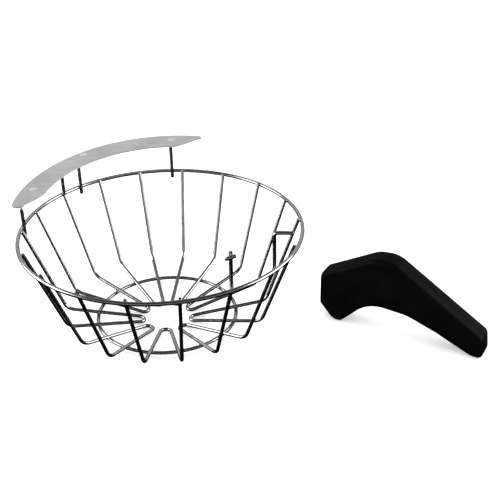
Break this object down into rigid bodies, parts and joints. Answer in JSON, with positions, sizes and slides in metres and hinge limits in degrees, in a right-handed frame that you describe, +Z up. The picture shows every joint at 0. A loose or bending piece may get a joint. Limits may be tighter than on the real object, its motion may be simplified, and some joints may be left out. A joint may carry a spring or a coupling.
{
  "type": "coffee brewer wire basket with funnel handle",
  "caption": "Open wire brew basket of bent hairpin ribs on a top and a bottom ring, with a flat crescent splash guard on posts, and a loose arched black handle beside it.",
  "frame": {"origin": "middle of the base of the whole set's box, on the surface that the basket and the handle stand on", "axes": "+Z up; +X from the basket towards the loose handle; +Y towards the side of the basket that carries the splash guard"},
  "size_m": [0.2928, 0.1812, 0.0917],
  "materials": {
    "ring_wire": "polished",
    "rib_wire": "polished",
    "post_wire": "gloss",
    "guard_plate": "matte",
    "handle_plastic": "satin",
    "insert_brass": "satin"
  },
  "bodies": {
    "basket": {"top_ring": "ring_wire", "bottom_ring": "ring_wire", "rib_hairpin_1": "rib_wire", "rib_hairpin_2": "rib_wire", "rib_hairpin_3": "rib_wire", "rib_hairpin_4": "rib_wire", "rib_hairpin_5": "rib_wire", "rib_hairpin_6": "rib_wire", "rib_hairpin_7": "rib_wire", "rib_hairpin_8": "rib_wire", "rib_hairpin_9": "rib_wire", "splash_guard": "guard_plate", "guard_post_left": "post_wire", "guard_post_middle": "post_wire", "guard_post_right": "post_wire", "stop_bar": "post_wire"},
    "handle": {"handle": "handle_plastic", "handle_insert_lower": "insert_brass", "handle_insert_upper": "insert_brass"}
  },
  "joints": [
    {"name": "handle_lift", "type": "slide", "parent": "basket", "child": "handle", "axis": [0, 0, 1], "range_m": [0, 0.1]}
  ]
}
